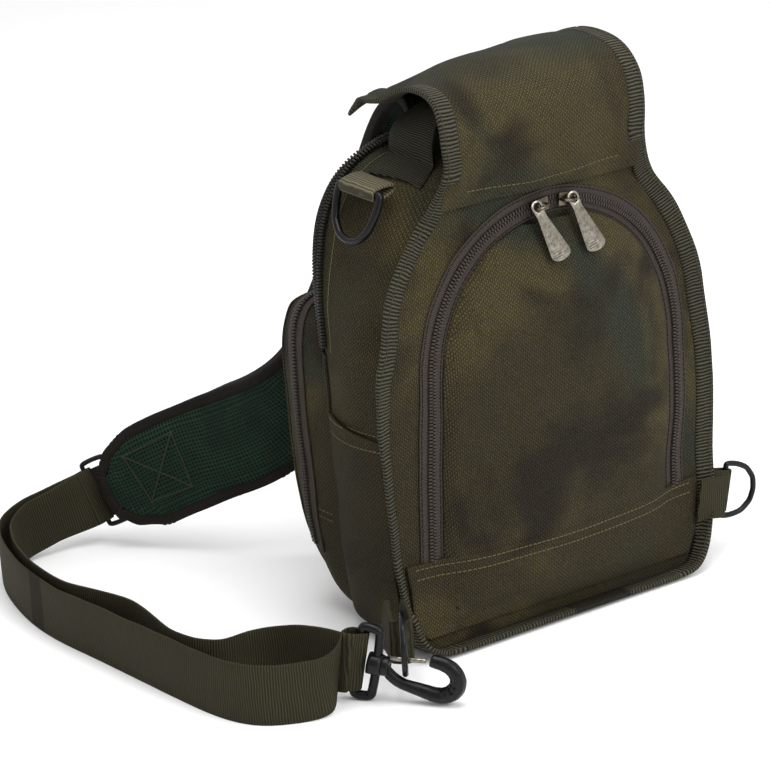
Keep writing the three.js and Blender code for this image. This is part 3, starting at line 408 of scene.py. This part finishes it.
def copied(name, label):
    mesh = nodes[name].data.copy()
    mesh.materials.clear()
    piece = bpy.data.objects.new(label, mesh)
    bpy.context.scene.collection.objects.link(piece)
    only(piece)
    bpy.ops.object.mode_set(mode="EDIT")
    bpy.ops.mesh.select_all(action="SELECT")
    bpy.ops.mesh.remove_doubles(threshold=0.00002)
    bpy.ops.mesh.tris_convert_to_quads(face_threshold=math.radians(50), shape_threshold=math.radians(60))
    bpy.ops.object.mode_set(mode="OBJECT")
    return piece


def layers(piece, is_start):
    """Rings of a ribbon in order, from the vertices that is_start picks, each as a list of vertex numbers."""
    mesh = piece.data
    beside = [set() for _ in mesh.vertices]
    for edge in mesh.edges:
        a, b = edge.vertices
        beside[a].add(b)
        beside[b].add(a)
    start = [v.index for v in mesh.vertices if is_start(v.co)]
    seen = set(start)
    rings = [start]
    ahead = {n for v in start for n in beside[v]} - seen
    group, last = {next(iter(ahead))}, set()
    for _ in range(len(ahead)):
        group |= {n for v in group for n in beside[v] if n in ahead}
    last = ahead - group
    seen |= last
    while group:
        rings.append(sorted(group))
        seen |= group
        group = {n for v in group for n in beside[v]} - seen
    return rings + ([sorted(last)] if last else [])


def measured(piece, rings):
    """The middle, the direction across and the half width of each ring."""
    rows, way = [], None
    for ring in rings:
        spots = [piece.data.vertices[i].co.copy() for i in ring]
        centre = sum(spots, Vector()) / len(spots)
        a, b = max(((p, q) for p in spots for q in spots), key=lambda pair: (pair[0] - pair[1]).length)
        turned = (a - b).normalized()
        if way and turned.dot(way) < 0:
            turned.negate()
        way = turned
        rows.append((centre, way, (a - b).length / 2))
    return rows


def mark_run(piece, rings, rows):
    mesh = piece.data
    run = mesh.attributes.new("run", "FLOAT", "POINT")
    side = mesh.attributes.new("side", "FLOAT", "POINT")
    length, before = 0.0, rows[0][0]
    for ring, (centre, way, _) in zip(rings, rows):
        length += (centre - before).length
        before = centre
        for i in ring:
            run.data[i].value = length
            side.data[i].value = (mesh.vertices[i].co - centre).dot(way)
    return length


def refine(piece, levels, crease=math.radians(48), field=True):
    """Subdivide a piece whose points are first pushed out, so that the rounded skin passes through them."""
    only(piece)
    bpy.ops.object.mode_set(mode="EDIT")
    bpy.ops.mesh.select_all(action="DESELECT")
    bpy.ops.mesh.select_mode(type="EDGE")
    bpy.ops.mesh.edges_select_sharp(sharpness=crease)
    bpy.ops.transform.edge_crease(value=0.85)
    bpy.ops.mesh.select_all(action="SELECT")
    bpy.ops.object.mode_set(mode="OBJECT")
    smooth = piece.modifiers.new("smooth", "SUBSURF")
    smooth.levels = smooth.render_levels = levels
    wanted = [v.co.copy() for v in piece.data.vertices]
    for _ in range(2):
        shown = piece.evaluated_get(bpy.context.evaluated_depsgraph_get()).data
        shift = [spot - shown.vertices[i].co for i, spot in enumerate(wanted)]
        for vertex, move in zip(piece.data.vertices, shift):
            vertex.co += move * 0.8
        piece.data.update()
    bpy.ops.object.modifier_apply(modifier="smooth")
    if field:
        for vertex in piece.data.vertices:
            vertex.co = dented(vertex.co)
    return piece


def puff(piece, amount):
    """Thicken a piece by moving its skin outward."""
    normals = [v.normal.copy() for v in piece.data.vertices]
    for vertex, normal in zip(piece.data.vertices, normals):
        vertex.co += normal * (amount * MM)


def lay_flat(piece):
    """A map in metres: run and side where the piece has them, else each face seen square on."""
    mesh = piece.data
    flat = mesh.uv_layers.new(name="flat")
    run = mesh.attributes.get("run")
    side = mesh.attributes.get("side")
    for face in mesh.polygons:
        n = face.normal
        big = max(range(3), key=lambda i: abs(n[i]))
        keep = [i for i in range(3) if i != big]
        for corner in face.loop_indices:
            v = mesh.loops[corner].vertex_index
            if run:
                flat.data[corner].uv = (run.data[v].value, side.data[v].value)
            else:
                co = mesh.vertices[v].co
                flat.data[corner].uv = (co[keep[0]], co[keep[1]])


def finish_piece(piece, finish, body="bag", replaced=(), angle=60):
    lay_flat(piece)
    piece.data.materials.clear()
    piece.data.materials.append(finish)
    only(piece)
    bpy.ops.object.shade_smooth_by_angle(angle=math.radians(angle))
    if replaced:
        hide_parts(*replaced)
    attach(piece, body)
    return piece


# %% Cloth pieces
CLOTH_LEVELS = {"gusset": 3, "front_panel": 3, "rear_gusset": 3, "rear_panel": 3, "welt_right": 2, "welt_left": 2,
                "side_pocket": 3, "front_pocket": 3, "bottom_band": 3, "flap": 3}
skins = {}
for name, levels in CLOTH_LEVELS.items():
    piece = refine(copied(name, name + "_cloth"), levels)
    if name == "front_panel":
        for vertex in piece.data.vertices:
            shoulder = math.exp(-((vertex.co.z - 0.293) / 0.014) ** 2)
            vertex.co.x *= 1 + 0.09 * shoulder * min(1.0, (abs(vertex.co.x) / 0.066) ** 3)
    if name == "flap":
        for vertex in piece.data.vertices:
            low = max(0.0, min(1.0, (0.33 - vertex.co.z) / 0.03)) * (vertex.co.y < 0)
            vertex.co.x *= 1 + 0.18 * low * (abs(vertex.co.x) / 0.066) ** 3
    if name == "bottom_band":
        puff(piece, 0.5)
        for vertex in piece.data.vertices:
            vertex.co.z += 0.006 * max(0.0, 1 - (vertex.co.z - 0.007) / 0.02)
    skins[name] = finish_piece(piece, cloth, replaced=(name,))
# The back wall is real cloth; its darker finish is painted shade.
piece = refine(copied("back_wall", "back_wall_cloth"), 2)
skins["back_wall"] = finish_piece(piece, shaded_lining, replaced=("back_wall",))
print("cloth faces", sum(len(p.data.polygons) for p in skins.values()))

# %% [markdown]
# ## Ribbons
# Binding, webbing and tapes are narrow and long. Walking ring by ring along each one gives every point its
# distance along the ribbon, and the ribs of the weave follow that distance round each bend.


# %% Binding, strap, pad and tapes
def lowest(name, count, side=1):
    spots = sorted((v.co.z, tuple(v.co)) for v in nodes[name].data.vertices if v.co.x * side > 0)
    unique = []
    for z, spot in spots:
        if all((Vector(spot) - Vector(other)).length > 0.0001 for other in unique):
            unique.append(spot)
        if len(unique) == count:
            break
    return lambda co: any((co - Vector(spot)).length < 0.0001 for spot in unique)


strap_low = min(nodes["strap"].data.vertices, key=lambda v: v.co.x).co.copy()
RIBBONS = {
    "edge_binding": (binding_finish, "webbing", 2, lambda co: abs(co.x) < 0.0002 and co.z < 0.02),
    "strap": (webbing_finish, "webbing", 2,
              lambda co: math.hypot(co.x - strap_low.x, co.y - strap_low.y) < 0.003),
    "pad_binding": (trim_finish, "webbing", 2, lowest("pad_binding", 0)),
    "shoulder_pad": (spacer_mesh, "mesh", 2, lambda co: abs(co.z - 0.292) < 0.002 and co.y < 0.06),
    "front_zip_tape": (tape_finish, "tape", 2, lowest("front_zip_tape", 6)),
    "rear_zip_tape": (tape_finish, "tape", 2, lowest("rear_zip_tape", 6)),
}
RIBBONS["pad_binding"] = (trim_finish, "webbing", 2, lambda co: abs(co.z - 0.292) < 0.002 and co.y < 0.06 and co.x > 0)
PUFFS = {"pad_binding": 1.0, "shoulder_pad": 1.4}
guides = {}
for name, (finish, slot, levels, is_start) in RIBBONS.items():
    piece = copied(name, name + "_ribbon")
    rings = layers(piece, is_start)
    guides[name] = measured(piece, rings)
    length = mark_run(piece, rings, guides[name])
    print(name, "rings", len(rings), "first", len(rings[0]), "length", round(length, 3))
    refine(piece, levels)
    puff(piece, PUFFS.get(name, 0))
    if name == "edge_binding":
        for vertex in piece.data.vertices:
            low = max(0.0, min(1.0, (0.19 - vertex.co.z) / 0.06)) * min(1.0, max(0.0, (vertex.co.z - 0.012) / 0.02))
            if vertex.co.x < -0.08 and low:
                centre, way, half = min(guides[name], key=lambda row: (row[0] - vertex.co).length_squared)
                inner = max((centre + way * half).x, (centre - way * half).x)
                vertex.co.x += (inner - vertex.co.x) * 0.42 * low
    skins[name] = finish_piece(piece, finish, replaced=(name,))

# %% Handle and tabs
TAB_WAYS = {"side_ring_tab": (1, 0, 0), "corner_tab_right": (1, 0, 0), "corner_tab_left": (0.503, 0.864, 0),
            "pad_tab": (-0.622, 0.664, -0.415)}
for name, finish, thicker in (("grab_handle", handle_finish, 0), ("side_ring_tab", tab_finish, 0.4),
                              ("corner_tab_right", webbing_finish, 0), ("corner_tab_left", webbing_finish, 0),
                              ("pad_tab", webbing_finish, 0)):
    piece = copied(name, name + "_webbing")
    run = piece.data.attributes.new("run", "FLOAT", "POINT")
    side = piece.data.attributes.new("side", "FLOAT", "POINT")
    for vertex in piece.data.vertices:
        x, y, z = vertex.co
        way = Vector(TAB_WAYS.get(name, (0, 0, 0)))
        run.data[vertex.index].value = vertex.co.dot(way) if way.length else abs(x) - z
        side.data[vertex.index].value = y if name in ("grab_handle", "side_ring_tab") else z
    refine(piece, 2)
    puff(piece, thicker)
    if name == "corner_tab_left":
        middle = sum((v.co for v in piece.data.vertices), Vector()) / len(piece.data.vertices)
        for vertex in piece.data.vertices:
            aside = (vertex.co - middle).dot(level)
            vertex.co += level * (aside * (1.3 if aside < 0 else 0.5))
    skins[name] = finish_piece(piece, finish, replaced=(name,))

# %% [markdown]
# ## Zips
# A coil zip shows two rows of short teeth on its tape. One tooth is modelled from a cube with rounded edges,
# and copies of it are set along the path that the coil's node takes.


# %% A tooth, a stitch, and copies of them along a path
def template(name, size, segments=2):
    bpy.ops.object.select_all(action="DESELECT")
    bpy.ops.mesh.primitive_cube_add(size=1)
    made = bpy.context.object
    made.name = name
    made.scale = size
    bpy.ops.object.transform_apply(location=True, rotation=True, scale=True)
    bpy.ops.object.mode_set(mode="EDIT")
    bpy.ops.mesh.select_all(action="SELECT")
    bpy.ops.mesh.bevel(offset=min(size) * 0.32, segments=segments, affect="EDGES")
    bpy.ops.object.mode_set(mode="OBJECT")
    points = np.array([v.co for v in made.data.vertices])
    faces = [tuple(f.vertices) for f in made.data.polygons]
    bpy.data.objects.remove(made)
    return points, faces


def scattered(label, shape, frames):
    """One mesh of many copies; each frame is a place and three directions: along, across and out."""
    points, faces = shape
    spots, tiles = [], []
    for place, along, across, out in frames:
        turn = np.array([along, across, out])
        base = len(spots) * len(points)
        spots.append(points @ turn + np.array(place))
        tiles.extend(tuple(i + base for i in face) for face in faces)
    mesh = bpy.data.meshes.new(label)
    mesh.from_pydata(np.concatenate(spots).tolist(), [], tiles)
    piece = bpy.data.objects.new(label, mesh)
    bpy.context.scene.collection.objects.link(piece)
    return piece


def smoothed(path, step):
    """The path through given points, rounded and cut to even steps."""
    spots = [Vector(p) for p in path]
    dense = []
    for i in range(len(spots) - 1):
        a, b, c, d = spots[max(i - 1, 0)], spots[i], spots[i + 1], spots[min(i + 2, len(spots) - 1)]
        for k in range(8):
            t = k / 8
            dense.append(0.5 * (2 * b + (c - a) * t + (2 * a - 5 * b + 4 * c - d) * t * t
                                + (3 * b - a - 3 * c + d) * t ** 3))
    dense.append(spots[-1])
    even, left = [dense[0]], step
    for a, b in zip(dense, dense[1:]):
        length = (b - a).length
        while length > left > 0:
            a = a + (b - a) * (left / length)
            length -= left
            even.append(a.copy())
            left = step
        left -= length
    return even


def surface_of_piece(piece):
    mesh = piece.data
    return BVHTree.FromPolygons([v.co for v in mesh.vertices], [tuple(f.vertices) for f in mesh.polygons])


def surface_of(*names):
    return [surface_of_piece(skins[name]) for name in names]


def on_surface(trees, spot):
    hits = [tree.find_nearest(spot) for tree in trees]
    where, normal, _, distance = min(hits, key=lambda hit: hit[3])
    return where, normal


def along_frames(path, trees, lift, offset=0.0, outward=None):
    frames = []
    for i, spot in enumerate(path):
        tangent = (path[min(i + 1, len(path) - 1)] - path[max(i - 1, 0)]).normalized()
        where, normal = on_surface(trees, spot)
        if outward and normal.dot(outward(spot)) < 0:
            normal = -normal
        across = normal.cross(tangent).normalized()
        out = tangent.cross(across).normalized()
        frames.append((where + out * lift + across * offset, tangent, across, out))
    return frames


# %% Teeth on the three zips
def coil(name, count, trees, pitch, tooth, lift, spread, finish):
    piece = copied(name, name + "_guide")
    rings = layers(piece, lowest(name, count))
    centres = [sum((piece.data.vertices[i].co for i in ring), Vector()) / len(ring) for ring in rings]
    bpy.data.objects.remove(piece)
    path = [dented(spot) for spot in smoothed(centres, pitch)]
    outward = lambda spot: Vector((spot.x, -0.5 if "front" in name else 0, spot.z - 0.15))
    rows = []
    for side in (-1, 1):
        shifted = path if side > 0 else [(a + b) / 2 for a, b in zip(path, path[1:])]
        rows += along_frames(shifted, trees, lift, side * spread, outward)
    made = scattered(name + "_teeth", template("tooth", tooth), rows)
    print(name, "teeth", len(rows))
    return finish_piece(made, finish, replaced=(name,), angle=40), path


front_trees = surface_of("front_zip_tape")
teeth, arch_path = coil("front_zip_coil", 4, front_trees, 0.0022, (0.0015, 0.0029, 0.0022), 0.0008, 0.0014,
                        coil_finish)
teeth, rear_path = coil("rear_zip_coil", 6, surface_of("rear_zip_tape"), 0.0022, (0.0015, 0.0029, 0.0022), 0.0008,
                        0.0014, coil_finish)
teeth, main_path = coil("main_zip", 4, surface_of("gusset"), 0.0021, (0.0016, 0.0042, 0.0032), 0.0016, 0.0021,
                        black_coil)

# %% [markdown]
# ## Stitch rows
# Every seam of the bag is topstitched. A row is a path a few millimetres beside a seam: points along it are
# dropped onto the skin they lie on, and a short rounded thread is set at each.


# %% Dropping a path onto the skins
def dropped(path, ways, trees, lift=0.0003, reach=0.03, turned=0.0):
    """Frames where lines from above each point of a path, against its way, meet the first skin."""
    spots, outs = [], []
    for spot, way in zip(path, ways):
        hits = [tree.ray_cast(spot + way * reach, -way, reach * 2) for tree in trees]
        hits = [hit for hit in hits if hit[0] is not None]
        if hits:
            where, normal, _, _ = min(hits, key=lambda hit: hit[3])
            spots.append(where)
            outs.append(normal if normal.dot(way) > 0 else -normal)
    frames = []
    for i, (spot, out) in enumerate(zip(spots, outs)):
        tangent = (spots[min(i + 1, len(spots) - 1)] - spots[max(i - 1, 0)]).normalized()
        across = out.cross(tangent).normalized()
        tangent = across.cross(out).normalized()
        if turned:
            swing = turned if i % 2 else -turned
            tangent, across = (tangent * math.cos(swing) + across * math.sin(swing),
                               across * math.cos(swing) - tangent * math.sin(swing))
        frames.append((spot + out * (lift - 0.0001), tangent, across, out))
    return frames


def ribbon_row(name, share, trees, facing, step=0.0034, span=(0, 1), **more):
    """A row at a share of the half width beside a ribbon's middle, on the side that faces a direction."""
    rows = guides[name]
    rows = rows[round(span[0] * (len(rows) - 1)):round(span[1] * (len(rows) - 1)) + 1]
    path = smoothed([centre + way * (half * share) for centre, way, half in rows], step)
    middle = smoothed([centre for centre, way, half in rows], step)
    ways = []
    for i, spot in enumerate(path):
        tangent = path[min(i + 1, len(path) - 1)] - path[max(i - 1, 0)]
        near = min(rows, key=lambda row: (row[0] - spot).length_squared)
        way = near[1].cross(tangent).normalized()
        ways.append(-way if way.dot(Vector(facing)) < 0 else way)
    return dropped([dented(spot) for spot in path], ways, trees, **more)


def straight_row(ends, facing, trees, step=0.0034, reach=0.1, **more):
    path = smoothed([Vector(end) * MM for end in ends], step)
    return dropped(path, [Vector(facing)] * len(path), trees, reach=reach, **more)


def ribbon_place(name, from_end, share):
    """The spot a distance from a ribbon's far end and a share of the half width from its middle."""
    rows = guides[name]
    i = len(rows) - 1
    while i > 1 and (rows[i][0] - rows[i - 1][0]).length < from_end:
        from_end -= (rows[i][0] - rows[i - 1][0]).length
        i -= 1
    part = from_end / max((rows[i][0] - rows[i - 1][0]).length, 1e-6)
    centre = rows[i][0].lerp(rows[i - 1][0], part)
    return centre + rows[i][1] * (share * PAD_HALF)


# %% The rows
STITCH = template("stitch", (0.0027, 0.0007, 0.0005), 1)
front = surface_of("front_panel", "bottom_band", "front_pocket", "flap")
side = surface_of("side_pocket", "gusset", "rear_gusset")
FORWARD, LEFTWARD = (0, -1, 0), (-1, 0, 0)
light_rows = []
for z in (59.5, 53):
    light_rows += straight_row([(-112, 0, z), (-40, 0, z), (40, 0, z), (112, 0, z)], FORWARD, front)
light_rows += straight_row([(-58, 0, 297), (0, 0, 294), (58, 0, 297)], FORWARD, front)
for z in (148, 139):
    light_rows += straight_row([(0, 14, z + 1), (0, -10, z), (0, -42, z)], LEFTWARD, side, reach=0.16)
edge_rows = ribbon_row("edge_binding", 0.62, surface_of("edge_binding"), (0, -1, 0.6))
finish_piece(scattered("edge_stitches", STITCH, edge_rows), edge_thread, angle=40)
for z in (70, 75):
    light_rows += straight_row([(0, 34, z), (0, 56, z + 2)], LEFTWARD, side, reach=0.16)
for share in (-1.25, 1.25):
    light_rows += ribbon_row("rear_zip_tape", share, surface_of("rear_gusset", "rear_panel"), (-1, 0, 0), span=(0, 0.45))
    light_rows += ribbon_row("rear_zip_tape", share, surface_of("rear_gusset", "rear_panel"), (1, 0, 0), span=(0.55, 1))
beside = [spot + Vector((0, -0.012, 0)) for spot in main_path[::1]]
ways = [Vector((spot.x, 0, spot.z - 0.2)).normalized() for spot in beside]
light_rows += dropped(beside, ways, surface_of("gusset"))
seams = scattered("light_stitches", STITCH, light_rows)
finish_piece(seams, thread, angle=40)
dark_rows = []
# This dense row of black thread at the binding's inner edge stands for the black stitching there and also paints the
# shadow line of the gap between binding and panel.
dark_rows += ribbon_row("edge_binding", 1.06, front, (0, -1, 0.6), step=0.0025, lift=0.0001)
for share in (-0.82, 0.82):
    dark_rows += ribbon_row("front_zip_tape", share, surface_of("front_zip_tape"), FORWARD)
dark_rows += ribbon_row("pad_binding", 0.2, surface_of("pad_binding"), (-0.4, -0.7, 0.5))
dark_rows += straight_row([(-92, -13, 0), (-92, 16, 0)], (0, 0, 1), surface_of("side_ring_tab", "grab_handle"),
                          step=0.0012, turned=0.9)
finish_piece(scattered("dark_stitches", STITCH, dark_rows), dark_thread, angle=40)

# %% [markdown]
# The pad's webbing is sewn on with a box and a cross. The corners of the box are places on the pad, counted
# from its free end, and the cross joins them.

# %% The box and its cross on the pad
PAD_HALF = 0.036
FRONT_OF_PAD = Vector((-0.35, -0.8, 0.5))
corners = [ribbon_place("shoulder_pad", a, b) for a, b in ((0.018, -0.55), (0.018, 0.55), (0.056, 0.55), (0.056, -0.55))]
cross_rows = []
for a, b in ((0, 1), (1, 2), (2, 3), (3, 0), (0, 2), (1, 3)):
    path = smoothed([corners[a].lerp(corners[b], t / 4) for t in range(5)], 0.0030)
    cross_rows += dropped([dented(spot) for spot in path], [FRONT_OF_PAD.normalized()] * len(path),
                          surface_of("shoulder_pad"), lift=0.0004)
finish_piece(scattered("pad_cross", template("cord_stitch", (0.0030, 0.0012, 0.0008), 1), cross_rows), mesh_thread,
             angle=40)
print("cross", len(cross_rows), [tuple(round(v, 3) for v in c) for c in corners])
print("stitches", len(light_rows), len(dark_rows))

# %% [markdown]
# ## Hardware
# The rings, the snap hook, the adjuster and the zip pulls are hard pieces whose shape the frame already
# holds. The rings, the hook and the adjuster are rounded in a subdivided copy; the sliders and the pulls get bevelled
# edges.

# %% Rings, hook and pulls
HARD = {"side_ring": ("side_ring", plastic, "plastic", 0.6),
        "corner_ring_right": ("right_ring", plastic, "plastic", 0),
        "corner_ring_left": ("bag", plastic, "plastic", 0), "adjuster": ("bag", plastic, "plastic", 0),
        "hook_frame": ("bag", plastic, "plastic", 0.5), "hook_body": ("bag", plastic, "plastic", 0.2),
        "hook_gate": ("gate", nickel, "nickel", 0)}
for name, (body_name, finish, slot, thicker) in HARD.items():
    piece = copied(name, name + "_round")
    refine(piece, 2, crease=math.radians(65), field=False)
    puff(piece, thicker)
    if name == "hook_body":
        nose = Vector((-138, -122, 10)) * MM
        for vertex in piece.data.vertices:
            near = max(0.0, 1 - (vertex.co - nose).length / 0.03)
            vertex.co += vertex.normal * (0.0022 * near)
    finish_piece(piece, finish, body_name, (name,))
for name, body_name in (("slider_left", "bag"), ("slider_right", "bag"), ("zip_pull_left", "left_pull"),
                        ("zip_pull_right", "right_pull")):
    piece = copied(name, name + "_metal")
    edges = piece.modifiers.new("edges", "BEVEL")
    edges.width = 0.0004 if body_name != "bag" else 0.0002
    edges.segments = 2
    edges.limit_method = "ANGLE"
    edges.angle_limit = math.radians(40)
    only(piece)
    bpy.ops.object.modifier_apply(modifier="edges")
    if body_name == "bag":
        finish_piece(piece, bronze, body_name, (name,), angle=40)
        continue
    spots = [v.co.copy() for v in piece.data.vertices]
    eye = max(spots, key=lambda spot: spot.z)
    tip = min(spots, key=lambda spot: spot.z)
    down = (tip - eye).normalized()
    out = Vector((0, -0.966, -0.257))
    out = (out - down * out.dot(down)).normalized()
    across = out.cross(down)
    length = (tip - eye).length
    middle = sum(spots, Vector()) / len(spots)
    for vertex in piece.data.vertices:
        share = (vertex.co - eye).dot(down) / length
        aside = (vertex.co - middle).dot(across)
        vertex.co += across * (aside * 0.6 * max(0.0, share - 0.5) / 0.5)
        neck = max(0.0, 1 - abs(share - 0.14) / 0.12)
        vertex.co -= across * (aside * 0.2 * neck)
    finish_piece(piece, nickel, body_name, (name,), angle=40)
    face = surface_of_piece(piece)
    grooves = []
    for back in (3.0, 4.6, 6.2):
        spot = tip - down * (back * MM)
        spot += across * (middle - spot).dot(across)
        grooves += dropped([spot - across * 0.0012, spot + across * 0.0012], [out] * 2, [face], lift=0.00012)
    finish_piece(scattered(name + "_grooves", template("groove", (0.0034, 0.0005, 0.0003), 1), grooves), bronze,
                 body_name, angle=40)

# %% [markdown]
# The pad hangs on a short web that passes round the adjuster's bar. Its direction and width are read from the
# adjuster's own points: the longest way through them is the web's width.

# %% The short web between the adjuster and the pad
points = np.array([v.co for v in nodes["adjuster"].data.vertices])
middle = points.mean(axis=0)
_, _, axes = np.linalg.svd(points - middle, full_matrices=False)
wide, long_way = Vector(axes[0]), Vector(axes[1])
pad_end = guides["shoulder_pad"][-1][0]
if (pad_end - Vector(middle)).dot(long_way) < 0:
    long_way.negate()
# The web is real webbing, but its near-black finish is painted shadow, and its 37 mm width lays that painted shade over
# the strap's end as well.
web = scattered("pad_web", template("web", (0.024, 0.037, 0.0018)),
                [(Vector(middle) + long_way * 0.005, long_way, wide, long_way.cross(wide))])
run = web.data.attributes.new("run", "FLOAT", "POINT")
side_way = web.data.attributes.new("side", "FLOAT", "POINT")
for vertex in web.data.vertices:
    run.data[vertex.index].value = (vertex.co - Vector(middle)).dot(long_way)
    side_way.data[vertex.index].value = (vertex.co - Vector(middle)).dot(wide)
finish_piece(web, shadow_webbing, angle=40)

# %% The right tab's front ply, which lies over the binding
ply = scattered("right_tab_ply", template("ply", (0.024, 0.029, 0.0016)),
                [((0.1265, -0.0545, 0.0455), Vector((0.985, 0, -0.17)), Vector((0.17, 0, 0.985)), Vector((0, -1, 0)))])
run = ply.data.attributes.new("run", "FLOAT", "POINT")
side_way = ply.data.attributes.new("side", "FLOAT", "POINT")
for vertex in ply.data.vertices:
    run.data[vertex.index].value = vertex.co.x
    side_way.data[vertex.index].value = vertex.co.z
finish_piece(ply, webbing_finish, angle=40)
